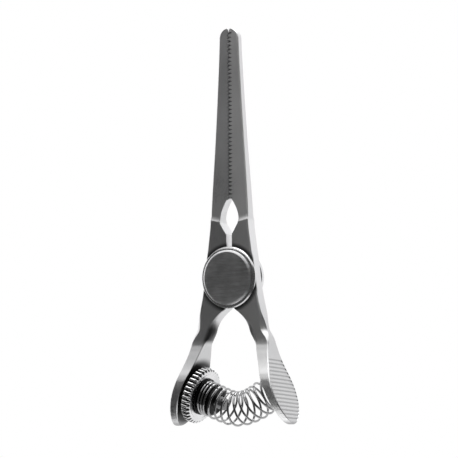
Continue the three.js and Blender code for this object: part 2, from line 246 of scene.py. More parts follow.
MATERIALS = {
    "jaw": satin_steel("satin_jaw_steel", 0.95, 0.48, ARM_GRAIN, ARM_SCRATCHES, contrast=0.35),
    "arm": satin_steel("ground_arm_steel", 0.95, 0.37, ARM_GRAIN, ARM_SCRATCHES, contrast=0.35),
    # root: near-black steel as painted shade in the wheel's knurl valleys and on its plate side.
    "root": satin_steel("painted_shade_root_steel", 0.05, 0.5, TOOTH_GRAIN, TOOTH_SCRATCHES, shaded=False),
    # tooth: dark steel as painted shade on the right arm's front tooth flanks, where the gaps between the
    # teeth fall dark.
    "tooth": satin_steel("painted_shade_flank_steel", 0.16, 0.5, TOOTH_GRAIN, TOOTH_SCRATCHES, shaded=False),
    "head": satin_steel(
        "brushed_head_steel", 0.66, 0.36, HEAD_GRAIN, HEAD_SCRATCHES, contrast=0.6, shaded=False,
    ),
    "bright": turned_steel("turned_bright_steel", 0.8, 0.2, 7),
    "washer": turned_steel("turned_washer_steel", 0.68, 0.32, 5),
    # collar and stud are darkened as painted shade inside the spring's first turns.
    "collar": turned_steel("painted_shade_collar_steel", 0.03, 0.45, 6),
    "wheel": turned_steel("wheel_steel", 0.78, 0.2, 6),
    "stud": turned_steel("stud_steel", 0.28, 0.28, 8),
    "wire": wire_steel("spring_wire_steel", 0.42, 0.06),
    "bush": turned_steel("bush_steel", 0.55, 0.35, 8),
}

# --- mesh helpers --------------------------------------------------------------------------------
DISC_SIDES = 96


def new_object(name, vertices, faces, materials, matrix=None, sharp=32):
    mesh = bpy.data.meshes.new(name)
    mesh.from_pydata([tuple(v) for v in vertices], [], faces)
    for key in materials:
        mesh.materials.append(MATERIALS[key])
    solid = bpy.data.objects.new(name, mesh)
    bpy.context.scene.collection.objects.link(solid)
    if matrix is not None:
        solid.matrix_world = matrix
    polish(solid, sharp)
    return solid


def polish(solid, sharp):
    """Outward normals, smooth faces and sharp edges where faces meet at more than the angle."""
    edit = bmesh.new()
    edit.from_mesh(solid.data)
    bmesh.ops.recalc_face_normals(edit, faces=edit.faces)
    edit.to_mesh(solid.data)
    edit.free()
    solid.data.polygons.foreach_set("use_smooth", [True] * len(solid.data.polygons))
    solid.data.set_sharp_from_angle(angle=math.radians(sharp))


def even_normals(solid):
    """Keeps large flats flat where they run into small bevels."""
    modifier = solid.modifiers.new("even_normals", "WEIGHTED_NORMAL")
    modifier.keep_sharp = True
    modifier.weight = 80


def axis_matrix(foot, axis):
    """A frame with its Z along axis and its origin at foot, in metres."""
    return Matrix.Translation(foot) @ axis.to_track_quat("Z", "Y").to_matrix().to_4x4()


def lofted(rings):
    """Faces between rings of equally many points, with a flat cap at each end."""
    count = len(rings[0])
    vertices = [point for ring in rings for point in ring]
    faces = []
    for level in range(len(rings) - 1):
        for i in range(count):
            a, b = level * count + i, level * count + (i + 1) % count
            faces.append((a, b, b + count, a + count))
    faces.append(tuple(reversed(range(count))))
    last = (len(rings) - 1) * count
    faces.append(tuple(range(last, last + count)))
    return vertices, faces


def rounded_profile(points, radius, steps=3):
    """Rounds each inner corner of an open profile of (r, h) points, in millimetres."""
    result = [points[0]]
    for before, here, after in zip(points, points[1:], points[2:]):
        corner = Vector(here)
        back, ahead = Vector(before) - corner, Vector(after) - corner
        cut = min(radius, back.length * 0.45, ahead.length * 0.45)
        start, end = corner + back.normalized() * cut, corner + ahead.normalized() * cut
        for i in range(steps + 1):
            t = i / steps
            result.append(tuple(start * (1 - t) ** 2 + corner * 2 * t * (1 - t) + end * t * t))
    result.append(points[-1])
    return result


def lathe(name, profile, material, foot, axis, segments=96, edge=0.06, closed=False, shape=None):
    """A turned piece. profile lists (radius, height) in millimetres, heights run along axis from foot.
    edge is the rounding of its corners. closed joins the last point to the first, for a piece with a
    bore. shape(r, h, angle) may change the radius."""
    if edge:
        profile = rounded_profile(profile + profile[:1] if closed else profile, edge)
        if closed:
            profile = profile[:-1]
    vertices, faces, rows = [], [], []
    for r, h in profile:
        if r < TINY:
            rows.append([len(vertices)])
            vertices.append((0, 0, h * MM))
            continue
        row = []
        for i in range(segments):
            angle = 2 * math.pi * i / segments
            radius = shape(r, h, angle) if shape else r
            row.append(len(vertices))
            vertices.append((radius * math.cos(angle) * MM, radius * math.sin(angle) * MM, h * MM))
        rows.append(row)
    pairs = list(zip(rows, rows[1:])) + ([(rows[-1], rows[0])] if closed else [])
    for low, high in pairs:
        for i in range(segments):
            j = (i + 1) % segments
            if len(low) == 1:
                faces.append((low[0], high[j], high[i]))
            elif len(high) == 1:
                faces.append((low[i], low[j], high[0]))
            else:
                faces.append((low[i], low[j], high[j], high[i]))
    return new_object(name, vertices, faces, [material], axis_matrix(foot, axis))


def boolean(solid, cutter, operation):
    """Joins or cuts solid with cutter, which is used up."""
    modifier = solid.modifiers.new("cut", "BOOLEAN")
    modifier.operation = operation
    modifier.solver = "EXACT"
    modifier.object = cutter
    graph = bpy.context.evaluated_depsgraph_get()
    made = bpy.data.meshes.new_from_object(solid.evaluated_get(graph))
    solid.modifiers.clear()
    old = solid.data
    solid.data = made
    bpy.data.meshes.remove(old)
    bpy.data.objects.remove(cutter)


def disc_cutter(radius, y0, y1):
    """A plain round bar about the pivot axis, from y0 to y1 in millimetres off the arms' middle plane."""
    turns = [2 * math.pi * i / DISC_SIDES for i in range(DISC_SIDES)]
    rings = [
        [PIVOT + Vector((radius * math.cos(a), y, radius * math.sin(a))) * MM for a in turns]
        for y in (y0, y1)
    ]
    return new_object("cutter", *lofted(rings), ["arm"])


# --- interpolation ---------------------------------------------------------------------------------


def smooth_rows(rows):
    """A monotone cubic through (z, value) rows."""
    rows = sorted(rows)
    z = [row[0] for row in rows]
    v = [row[1] for row in rows]
    gaps = [b - a for a, b in zip(z, z[1:])]
    slopes = [(b - a) / g for a, b, g in zip(v, v[1:], gaps)]
    tangents = [slopes[0]]
    for a, b in zip(slopes, slopes[1:]):
        tangents.append(0 if a * b <= 0 else 2 * a * b / (a + b))
    tangents.append(slopes[-1])

    def value(at):
        at = min(max(at, z[0]), z[-1])
        i = max(k for k in range(len(gaps)) if z[k] <= at)
        t = (at - z[i]) / gaps[i]
        return (
            v[i] * (1 + 2 * t) * (1 - t) ** 2 + tangents[i] * gaps[i] * t * (1 - t) ** 2
            + v[i + 1] * t * t * (3 - 2 * t) + tangents[i + 1] * gaps[i] * t * t * (t - 1)
        )

    return value


def straight_rows(rows):
    """Straight lines through (z, value) rows."""
    rows = sorted(rows)

    def value(at):
        at = min(max(at, rows[0][0]), rows[-1][0])
        for (z0, v0), (z1, v1) in zip(rows, rows[1:]):
            if at <= z1:
                return v0 + (v1 - v0) * (at - z0) / (z1 - z0)
        return rows[-1][1]

    return value


def bezier_rows(a, b, c, steps=10):
    """Rows (z, x) on a quadratic curve through (x, z) points a and c, pulled to b."""
    rows = []
    for i in range(steps + 1):
        t = i / steps
        x = a[0] * (1 - t) ** 2 + 2 * b[0] * t * (1 - t) + c[0] * t * t
        z = a[1] * (1 - t) ** 2 + 2 * b[1] * t * (1 - t) + c[1] * t * t
        rows.append((z, x))
    return rows


# --- arms --------------------------------------------------------------------------------------------
# Millimetres from the pivot, drawn as the right arm. Rows are (z, value).
TIP_Z = 50.0
TIP_RADIUS = 2.0
TIP_HALF_WIDTH = 2.2
TEETH_TOP_Z = 49.0
TOOTH_PITCH = 0.806
TOOTH_STEPS = 82
TOOTH_ROOT = 0.44
TOOTH_CREST = -0.08
CREST_HALF_FLAT = 0.1
# The jaw tips stand a little apart above the teeth, and more so over their last stretch.
TIP_GAP = 0.06
TIP_RUN = 0.3
TIP_FLARE = 0.5
TIP_FLARE_HEIGHT = 0.4
# The slit between the shanks runs up to the opening under the teeth.
OPENING_TOP_Z = 15.75
SLIT_END_Z = -5.6
# The joint stands proud of the jaw, with a step that leans along x.
STEP_Z = 11.1
STEP_WIDTH = 1.1
STEP_SLOPE = 0.2
STEP_MIDDLE_X = 2
PLATE_START_Z = -11.0
PLATE_TIP_Z = -29.4
PLATE_TIP_ROUND = 0.4
PLATE_TIP_SQUEEZE = 0.42
RIB_TOP_Z = -16.4
RIB_PITCH = 0.77
RIB_COUNT = 16
RIB_DEPTH = 0.14
# The plate's outer face is slightly crowned, and its ribs lean along y.
PLATE_CROWN = 0.1
CROWN_START_Z = -15.5
RIB_LEAN = 0.06
LEAN_START_Z = -14.5

OUTER = smooth_rows([
    (48, 2.2), (45.4, 2.3), (29.5, 3.2), (15.5, 4.15), (10.8, 4.4), (6.5, 4.93), (3.9, 5.3),
    (-2.35, 6.12), (-6.5, 7.02), (-8.6, 7.62), (-10.3, 8.05), (-12.4, 8.85), (-13.5, 9.0),
    (-15.2, 9.27), (-17.0, 9.74), (-19.5, 10.5), (-21.5, 11.14), (-23.5, 11.82), (-25.8, 12.6),
    (-27.8, 13.3), (PLATE_TIP_Z, 13.85),
])
INNER_BELOW = smooth_rows(
    [(SLIT_END_Z, 0.53), (-6.3, 1.15)]
    + bezier_rows((1.15, -6.3), (3.6, -8.0), (4.6, -10.1), 6)[1:]
    + bezier_rows((4.6, -10.1), (5.3, -11.8), (6.1, -13.5), 4)[1:]
    + [(-15.2, 6.65), (-17.0, 7.29), (-19.5, 8.2), (-21.5, 9.05), (-23.5, 9.9), (-25.8, 10.78),
       (-27.8, 11.6), (PLATE_TIP_Z, 12.3)]
)
INNER_ABOVE = straight_rows(
    [(SLIT_END_Z, 0.53), (-1, 0.53), (1, 0.62), (8.7, 0.62), (10.9, 2.02)]
    + bezier_rows((2.02, 10.9), (2.32, 12.6), (1.3, 14.4))[1:]
    + bezier_rows((1.3, 14.4), (0.85, 15.3), (0.45, OPENING_TOP_Z), 4)[1:]
)
# Half thicknesses, along y.
JAW_THICKNESS = smooth_rows([(50, 0.75), (29, 0.9), (15, 1.12), (11, 1.2), (-30, 1.2)])
PLATE_THICKNESS = smooth_rows([
    (PLATE_START_Z, 1.45), (-12.2, 1.5), (-13.2, 1.65), (-14.2, 1.98), (-15.4, 2.42), (-17, 3.0),
    (-18.3, 3.55), (-19.8, 4.25), (-21.2, 4.7), (-22.6, 4.87), (-24.2, 4.72), (-25.8, 4.17),
    (-27, 3.45), (-28.1, 2.45), (-28.9, 1.42), (PLATE_TIP_Z, 0.4),
])
LAP_THICKNESS = 1.45
# Widths of the bevels along the outer and the inner edges.
OUTER_CORNER = smooth_rows([
    (50, 0.12), (48, 0.2), (12, 0.22), (0, 0.22), (-5, 0.22), (-6.9, 0.3), (-8.7, 0.75), (-10.4, 1.0),
    (-11.9, 0.6), (-13.2, 0.25), (-16, 0.2), (PLATE_TIP_Z, 0.2),
])
INNER_CORNER = smooth_rows([
    (50, 0.05), (16, 0.05), (14.5, 0.1), (-6, 0.1), (-7.5, 0.15), (-9.2, 0.3), (-11.4, 0.45),
    (-13, 0.2), (-14.2, 0.09), (-20, 0.09), (-24, 0.18), (PLATE_TIP_Z, 0.2),
])
# How far the inner side bulges at mid depth where the shank runs into the finger plate.
INNER_BULGE = smooth_rows([
    (50, 0), (-6.4, 0), (-8.0, 0.2), (-9.5, 0.6), (-11, 0.85), (-12.3, 0.6), (-13.2, 0.2),
    (-13.9, 0), (-30, 0),
])
BULGE_WIDTH = 0.6
# A corner is a mixture of a straight bevel, with this share, and a quarter round.
BEVEL_SHARE = 0.7
CORNER_STEPS = 4
FRONT_STEPS = 12
SIDE_STEPS = 6
RIB_LEVEL_SHARES = (0, 0.17, 0.33, 0.5, 0.67, 0.83)
PLATE_TIP_ANGLES = (0, 25, 45, 60, 75, 90)
CLOSEST_LEVELS = 0.025
# The jaw tip's narrowest width, and how much its two faces draw in over its last stretch.
TIP_LEAST_WIDTH = 0.2
TIP_THINNING = 0.1
TIP_THINNING_HEIGHT = 0.12
# The most that a bevel takes of the arm's width and of its half thickness.
CORNER_LIMIT = 0.45
CORNER_DEPTH_LIMIT = 0.85
# How far the outer side's points keep from the bevels, and the least share of the side that they cover.
SIDE_INSET = 0.12
SIDE_LEAST_SHARE = 0.6
# The lap: each arm gives up its half of the joint disc to the other one, with a narrow gap between them.
LAP_GAP = 0.03
LAP_POCKET_RADIUS = 5.45
LAP_DISC_RADIUS = 5.2
BUSH_HOLE_RADIUS = 2.45
CUT_REACH = 6.0
# Holes through the finger plates' inner faces, as (radius, height) along the stud and the spring seat.
STUD_HOLE = [(0, -1.14), (1.33, -1.14), (1.33, 3), (0, 3)]
SEAT_HOLE = [(0, -0.74), (1.03, -0.74), (1.03, 0), (3.65, 0), (3.65, 3), (0, 3)]


def tooth_rows(phase):
    """(z, x) rows of the serrated edge; phase 1 swaps crests and roots for the meshing arm."""
    rows = []
    for i in range(TOOTH_STEPS + 1):
        z = TEETH_TOP_Z - i * TOOTH_PITCH / 2
        if (i + phase) % 2:
            rows += [(z + CREST_HALF_FLAT, TOOTH_CREST), (z - CREST_HALF_FLAT, TOOTH_CREST)]
        else:
            rows.append((z, TOOTH_ROOT))
    return rows


def front_depth(x, z):
    """Half thickness at a place on the arm, with the filleted step between the joint and the jaw."""
    if z <= PLATE_START_Z:
        return PLATE_THICKNESS(z)
    s = 1 + (STEP_Z + STEP_SLOPE * (x - STEP_MIDDLE_X) - z) / STEP_WIDTH
    s = min(max(s, 0), 1)
    jaw = JAW_THICKNESS(z)
    return jaw + (LAP_THICKNESS - jaw) * s * s


def rib_cut(z):
    """Depth of the rounded grooves across the finger plate's outer face."""
    along = (RIB_TOP_Z - z) / RIB_PITCH
    if not 0 <= along < RIB_COUNT:
        return 0
    return RIB_DEPTH * (0.5 - 0.5 * math.cos(2 * math.pi * along)) ** 1.3


def ramped(distance, length):
    """0 up to the start, then straight up to 1 over the length."""
    return min(max(distance / length, 0), 1)


def plate_share(z):
    """0 on the shank, 1 on the finger plate, and 0 again at its end."""
    return ramped(LEAN_START_Z - z, 2.5) * ramped(z - PLATE_TIP_Z, 2.0)


def stepped(top, step, count):
    """count heights from top down."""
    return [top - step * i for i in range(count)]


def arm_levels(teeth):
    """Heights of the cross sections, from the tip down, closer together where the shape changes faster."""
    levels = [TIP_Z - TIP_RADIUS * (1 - math.cos(math.radians(a))) for a in range(0, 91, 9)]
    levels += [TIP_Z - 0.04, TIP_Z - 0.1, TIP_Z - TIP_FLARE_HEIGHT, teeth[0][0] + TIP_RUN]
    levels += [z for z, _ in teeth]
    levels += stepped(OPENING_TOP_Z, 0.25, 12)
    levels += stepped(12.75, 0.12, 20)
    levels += stepped(10.3, 0.4, 5)
    levels += stepped(8.7, 0.35, 41) + [SLIT_END_Z]
    levels += stepped(-5.8, 0.2, 53)
    for i in range(RIB_COUNT):
        top = RIB_TOP_Z - RIB_PITCH * i
        levels += [top - RIB_PITCH * share for share in RIB_LEVEL_SHARES]
    levels += [PLATE_TIP_Z + PLATE_TIP_ROUND * (1 - math.cos(math.radians(a))) for a in PLATE_TIP_ANGLES]
    levels = sorted(set(round(z, 4) for z in levels), reverse=True)
    kept = [levels[0]]
    for z in levels[1:]:
        if kept[-1] - z > CLOSEST_LEVELS:
            kept.append(z)
    return kept


def rounding(share):
    """How far a quarter round draws back, from 0 where it begins to 1 at its end."""
    return 1 - math.sqrt(max(1 - share * share, 0))


def arm_section(inner_line, z):
    """One closed ring of points round the arm at height z."""
    inner = inner_line(z)
    if z > TIP_Z - TIP_RADIUS:
        outer = math.sqrt(max(TIP_RADIUS ** 2 - (z - TIP_Z + TIP_RADIUS) ** 2, 0))
        outer = max(TIP_HALF_WIDTH - TIP_RADIUS + outer, inner + TIP_LEAST_WIDTH)
    else:
        outer = OUTER(z)
    squeeze = PLATE_TIP_SQUEEZE * rounding(max(0, 1 - (z - PLATE_TIP_Z) / PLATE_TIP_ROUND))
    inner += squeeze
    outer -= squeeze
    thin = TIP_THINNING * rounding(max(0, 1 - (TIP_Z - z) / TIP_THINNING_HEIGHT))
    outer_radius = min(OUTER_CORNER(z), (outer - inner) * CORNER_LIMIT)
    inner_radius = min(INNER_CORNER(z), (outer - inner) * CORNER_LIMIT)

    def depth(x):
        return front_depth(x, z) - thin

    def front_corner(x, outward, radius):
        """Points round one corner, from the side to the front: a bevel with rounded edges."""
        limit = min(radius, depth(x) * CORNER_DEPTH_LIMIT)
        points = []
        for i in range(CORNER_STEPS + 1):
            a = math.pi / 2 * i / CORNER_STEPS
            t = i / CORNER_STEPS
            across = (1 - math.cos(a)) * (1 - BEVEL_SHARE) + t * BEVEL_SHARE
            down = (1 - math.sin(a)) * (1 - BEVEL_SHARE) + (1 - t) * BEVEL_SHARE
            px = x - outward * limit * across
            points.append((px, -(depth(px) - limit * down)))
        return points

    inner_front = front_corner(inner, -1, inner_radius)
    outer_front = front_corner(outer, 1, outer_radius)
    front = []
    for i in range(1, FRONT_STEPS):
        x = inner_front[-1][0] + (outer_front[-1][0] - inner_front[-1][0]) * i / FRONT_STEPS
        front.append((x, -depth(x)))
    flat = outer_front[0][1]
    crown = PLATE_CROWN * ramped(CROWN_START_Z - z, 3) * ramped(z - PLATE_TIP_Z, 3)
    reach = max(abs(flat) - SIDE_INSET, abs(flat) * SIDE_LEAST_SHARE)
    side = []
    for i in range(SIDE_STEPS + 1):
        y = -reach * (1 - 2 * i / SIDE_STEPS)
        side.append((outer - rib_cut(z) + crown * (1 - (y / flat) ** 2), y))
    flat_in = inner_front[0][1]
    inside = [(inner, -flat_in * (1 - 2 * i / SIDE_STEPS)) for i in range(1, SIDE_STEPS)]
    half = inner_front + front + outer_front[::-1]
    back = [(x, -y) for x, y in reversed(half)]
    ring = half + side + back + inside
    bulge, thick = INNER_BULGE(z), depth(inner)
    lean = RIB_LEAN * plate_share(z)
    return [
        (x - bulge * max(0, 1 - (x - inner) / BULGE_WIDTH) * (1 - (y / thick) ** 2), y, z - lean * y)
        for x, y in ring
    ]


def eased(value, start, end):
    """0 at start, 1 at end, with a smooth run between."""
    t = min(max((value - start) / (end - start), 0), 1)
    return t * t * (3 - 2 * t)


# --- painted contact light -----------------------------------------------------------------------------
# Shares of the steel's full tone. x, y and z are millimetres from the pivot, with x outwards on either arm.
JAW_LIGHT = 0.86
PLATE_LIGHT = 0.66
LEFT_FRONT_LIGHT = 0.8
RIGHT_FRONT_LIGHT = 1.1
# How far a face is turned to the front where its tone goes over from the side's to the front's.
FRONT_TURN = (0.4, 0.75)
# Heights between which the side's tone goes over from the plates' to the jaws'.
SIDE_RUN = (-16, 8)
TOOTH_SHADOW_Z = (15.9, 49.2)
TOOTH_SHADOW_WIDTH = 0.45
TOOTH_SHADOW_Y = -0.4
LEFT_CREST_SHADOW = 0.6
PLATE_END_SHADOW = 0.35
PLATE_END_RUN = (28.6, 29.3)
RING_SHADOW_Y = -1
RING_SHADOW_LIGHT = 0.1
RING_SHADOW_RUN = (6.35, 7.3)
FORK_SHADOW = 0.8
FORK_SHADOW_WIDTH = 0.9
FORK_BOTTOM_RUN = (-13.3, -12.3)
FORK_TOP_RUN = (-10.4, -8.4)
WHEEL_SHADOW_TOP_Z = -15
WHEEL_SHADOW_REACH = 0.12
WHEEL_SHADOW_LIGHT = 0.08
WHEEL_SHADOW_RUN = (5.9, 7.6)
RIB_SHADOW = 0.42
RIB_SHADOW_OFFSET = 0.4
RIB_SHADOW_POWER = 1.5
RIB_SHADOW_MARGIN = 0.1


def face_light(normal, mirror, z):
    """Painted light by facing: one tone for each arm's front, and one for the sides that changes along the
    arm.
    """
    side = PLATE_LIGHT + (JAW_LIGHT - PLATE_LIGHT) * eased(z, *SIDE_RUN)
    front = LEFT_FRONT_LIGHT if mirror < 0 else RIGHT_FRONT_LIGHT
    return side + eased(-normal.y, *FRONT_TURN) * (front - side)


def teeth_light(x, y, z, mirror, tooth_line):
    """Painted shade at the right arm's tooth roots and a paler painted shade at the left arm's crests, on
    their front half only.
    """
    if not TOOTH_SHADOW_Z[0] < z < TOOTH_SHADOW_Z[1] or y >= TOOTH_SHADOW_Y:
        return 1
    root = (tooth_line(z) - TOOTH_CREST) / (TOOTH_ROOT - TOOTH_CREST)
    near = 1 - eased(x - tooth_line(z), 0, TOOTH_SHADOW_WIDTH)
    return 1 - (root if mirror > 0 else LEFT_CREST_SHADOW * (1 - root)) * near


def ring_light(x, y, z):
    """The narrow shadow round the front ring."""
    if y >= RING_SHADOW_Y:
        return 1
    return RING_SHADOW_LIGHT + (1 - RING_SHADOW_LIGHT) * eased(math.hypot(x, z), *RING_SHADOW_RUN)


def fork_light(x, z):
    """A painted dark reflection on the inner side, above the finger plates."""
    near = 1 - eased(x - INNER_BELOW(z), 0, FORK_SHADOW_WIDTH)
    return 1 - FORK_SHADOW * near * eased(z, *FORK_BOTTOM_RUN) * (1 - eased(z, *FORK_TOP_RUN))


def wheel_light(point, x, z, mirror):
    """The shadow of the adjusting wheel on the left plate's inner side."""
    if z >= WHEEL_SHADOW_TOP_Z or x - INNER_BELOW(z) >= WHEEL_SHADOW_REACH or mirror > 0:
        return 1
    offset = point * MM - (STUD_FOOT - PIVOT)
    offset -= STUD_AXIS * offset.dot(STUD_AXIS)
    return WHEEL_SHADOW_LIGHT + (1 - WHEEL_SHADOW_LIGHT) * eased(offset.length / MM, *WHEEL_SHADOW_RUN)


def rib_light(x, y, z):
    """Painted shade on the lower flanks of the ribs on the finger plate's outer face."""
    along = (RIB_TOP_Z - RIB_LEAN * y - z) / RIB_PITCH
    outside = x > (INNER_BELOW(z) + OUTER(z)) / 2
    if not 0 <= along < RIB_COUNT or not outside or abs(y) >= PLATE_THICKNESS(z) - RIB_SHADOW_MARGIN:
        return 1
    wave = max(0, math.sin(2 * math.pi * along - RIB_SHADOW_OFFSET))
    return 1 - RIB_SHADOW * wave ** RIB_SHADOW_POWER


def contact_shade(point, normal, mirror, tooth_line):
    """How much light reaches a point of the arm; point is in millimetres from the pivot."""
    x, y, z = mirror * point.x, point.y, point.z
    light = face_light(normal, mirror, z)
    light *= teeth_light(x, y, z, mirror, tooth_line)
    light *= 1 - PLATE_END_SHADOW * eased(-z, *PLATE_END_RUN)
    light *= ring_light(x, y, z)
    light *= fork_light(x, z)
    light *= wheel_light(point, x, z, mirror)
    light *= rib_light(x, y, z)
    return light


# --- building the arms ---------------------------------------------------------------------------------
ARM_MATERIALS = ["jaw", "arm", "tooth"]


def inner_side(teeth):
    """The line of the arm's inner side: the jaw tip, the teeth, the opening, the slit and the plate."""
    tooth_line = straight_rows(teeth)
    teeth_top, top_x = teeth[0]

    def inner(z):
        if z > teeth_top + TIP_RUN:
            return TIP_GAP + TIP_FLARE * max(0, z - TIP_Z + TIP_FLARE_HEIGHT)
        if z > teeth_top:
            return top_x + (TIP_GAP - top_x) * (z - teeth_top) / TIP_RUN
        if z >= OPENING_TOP_Z:
            return tooth_line(z)
        return INNER_ABOVE(z) if z > SLIT_END_Z else INNER_BELOW(z)

    return inner


def cut_lap(arm, lap_side):
    """Clears the arm's half of the joint, puts its own disc in and bores it for the bush."""
    near = LAP_GAP * lap_side
    boolean(arm, disc_cutter(LAP_POCKET_RADIUS, *sorted((near, -CUT_REACH * lap_side))), "DIFFERENCE")
    boolean(arm, disc_cutter(LAP_DISC_RADIUS, *sorted((near, LAP_THICKNESS * lap_side))), "UNION")
    boolean(arm, disc_cutter(BUSH_HOLE_RADIUS, -CUT_REACH, CUT_REACH), "DIFFERENCE")


def give_materials(arm, teeth, mirror):
    """Jaw above the step, arm below it, and tooth, a dark steel for painted shade, on the right arm's front
    tooth flanks.
    """
    for face in arm.data.polygons:
        centre = face.center / MM
        edge = PIVOT.z / MM + STEP_Z + STEP_SLOPE * (abs(centre.x) - STEP_MIDDLE_X)
        in_teeth = teeth[-1][0] - 0.05 < centre.z < teeth[0][0] + 0.1 and abs(centre.x) < TOOTH_ROOT
        if mirror > 0 and in_teeth and abs(face.normal.y) < 0.4 and centre.y < PIVOT.y / MM:
            kind = "tooth"
        else:
            kind = "jaw" if centre.z > edge else "arm"
        face.material_index = ARM_MATERIALS.index(kind)


def build_arm(name, phase, mirror, lap_side):
    """mirror is 1 for the right arm and -1 for the left one; lap_side is the y side of its own lap."""
    teeth = tooth_rows(phase)
    tooth_line = straight_rows(teeth)
    inner = inner_side(teeth)
    rings = [
        [PIVOT + Vector((mirror * x, y, height)) * MM for x, y, height in arm_section(inner, z)]
        for z in arm_levels(teeth)
    ]
    arm = new_object(name, *lofted(rings), ARM_MATERIALS)
    cut_lap(arm, lap_side)
    if mirror < 0:
        hole = lathe("hole", STUD_HOLE, "arm", STUD_FOOT, STUD_AXIS, edge=0)
    else:
        hole = lathe("hole", SEAT_HOLE, "arm", SEAT_FOOT, SEAT_AXIS, edge=0)
    boolean(arm, hole, "DIFFERENCE")
    give_materials(arm, teeth, mirror)
    shade = arm.data.attributes.new("shade", "FLOAT", "POINT")
    shade.data.foreach_set("value", [
        contact_shade((v.co - PIVOT) / MM, v.normal, mirror, tooth_line) for v in arm.data.vertices
    ])
    polish(arm, 28)
    even_normals(arm)
    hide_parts(name)
    return arm


# --- pivot -------------------------------------------------------------------------------------------
# Profiles are (radius, height); heights run out of the front, from the arms' middle plane.
ROUND_SEGMENTS = 160
SCREW = [(0, 2.56), (5.1, 2.56), (5.5, 2.34), (5.5, 2.11), (1.77, 2.11), (1.77, -2.35), (0, -2.35)]
RING = [(1.8, 2.08), (5.68, 2.08), (6.0, 1.97), (6.2, 1.74), (6.2, 1.48), (1.8, 1.48)]
BUSH = [(1.8, 1.45), (2.4, 1.45), (2.4, -1.45), (1.8, -1.45)]
WASHER = [(1.8, -1.48), (5.3, -1.48), (5.3, -1.78), (1.8, -1.78)]
NUT = [(0, -2.41), (1.8, -2.41), (1.8, -1.81), (5.7, -1.81), (5.7, -2.61), (5.5, -2.81), (0, -2.81)]


def build_pivot():
    """The screw's head and shank, the ring under it, the bush, the washer and the cap nut."""
    made = {}
    made["pivot_screw"] = lathe(
        "pivot_screw", SCREW, "head", PIVOT, FRONT, segments=ROUND_SEGMENTS, edge=0.05,
    )
    made["front_ring"] = lathe(
        "front_ring", RING, "bright", PIVOT, FRONT, segments=ROUND_SEGMENTS, edge=0.05, closed=True,
    )
    made["pivot_bush"] = lathe("pivot_bush", BUSH, "bush", PIVOT, FRONT, edge=0.05, closed=True)
    made["rear_washer"] = lathe("rear_washer", WASHER, "washer", PIVOT, FRONT, edge=0.06, closed=True)
    made["pivot_nut"] = lathe(
        "pivot_nut", NUT, "bright", PIVOT, FRONT, segments=ROUND_SEGMENTS, edge=0.06,
    )
    return made


# --- tension adjuster ----------------------------------------------------------------------------------
# Heights run along the stud from the left plate's inner face.
WHEEL_START = 0.9
WHEEL_END = 2.9
WHEEL_RADIUS = 5.8
WHEEL_TEETH = 36
WHEEL_TOOTH_DEPTH = 0.42
WHEEL_TOOTH_FOOT = 5.15
BORE_RADIUS = 1.35
THREAD_PITCH = 0.5
THREAD_DEPTH = 0.24
THREAD_START = -0.4
THREAD_END = 8.0
THREAD_STEPS = 150
STUD_RADIUS = 1.3
COLLAR_START = 2.93
COLLAR_FLANGE_THICKNESS = 0.2
SEAT_FLANGE_TOP = 0.38
SEAT = [
    (0, -0.7), (1.0, -0.7), (1.0, 0.03), (3.5, 0.03), (3.5, SEAT_FLANGE_TOP), (2.2, SEAT_FLANGE_TOP),
    (2.2, 1.05), (1.95, 1.3), (0, 1.3),
]


def knurl_wave(angle):
    """1 in the valleys between the wheel's teeth, 0 on their crests."""
    return 0.5 + 0.5 * math.cos(WHEEL_TEETH * angle)


def knurl(r, h, angle):
    """The wheel's radius: straight teeth round the rim that run out over its two bevels."""
    strength = min(max((r - WHEEL_TOOTH_FOOT) / 0.5, 0), 1)
    return r - WHEEL_TOOTH_DEPTH * strength * knurl_wave(angle) ** 1.8


def thread(r, h, angle):
    """The stud's radius: a helical thread that runs out at the end bevel."""
    if r < STUD_RADIUS - TINY or h < THREAD_START:
        return r
    turn = (h / THREAD_PITCH - angle / (2 * math.pi)) % 1
    return r - THREAD_DEPTH * (1 - abs(2 * turn - 1)) ** 0.8


def build_wheel():
    """The knurled wheel, with its plate side and the valleys of its knurl in near-black steel as painted
    shade.
    """
    rim = [(5.1, 0), (5.5, 0.12), (WHEEL_RADIUS, 0.4), (WHEEL_RADIUS, 0.7)]
    profile = [(BORE_RADIUS, WHEEL_START)] + [(r, WHEEL_START + inset) for r, inset in rim]
    profile += [(r, WHEEL_END - inset) for r, inset in reversed(rim[1:])]
    profile += [
        (WHEEL_TOOTH_FOOT, WHEEL_END), (4.75, WHEEL_END),
        (4.6, WHEEL_END - 0.12), (BORE_RADIUS, WHEEL_END - 0.12),
    ]
    wheel = lathe(
        "adjusting_wheel", profile, "wheel", STUD_FOOT, STUD_AXIS,
        segments=WHEEL_TEETH * 10, edge=0.06, closed=True, shape=knurl,
    )
    wheel.data.materials.append(MATERIALS["root"])
    for face in wheel.data.polygons:
        place = face.center / MM
        valley = knurl_wave(math.atan2(place.y, place.x)) > 0.5
        in_rim = math.hypot(place.x, place.y) > 5.2 and valley
        if place.z < WHEEL_START + 0.2 or (in_rim and place.z < WHEEL_END - 0.1):
            face.material_index = 1
    return wheel


def build_collar():
    """A flange for the spring's end and a sleeve inside its first turns."""
    flange_top = COLLAR_START + COLLAR_FLANGE_THICKNESS
    profile = [
        (BORE_RADIUS, COLLAR_START), (3.75, COLLAR_START), (3.75, flange_top), (2.9, flange_top),
        (2.9, 5.9), (2.7, 6.13), (BORE_RADIUS, 6.13),
    ]
    return lathe("spring_collar", profile, "collar", STUD_FOOT, STUD_AXIS, edge=0.08, closed=True)


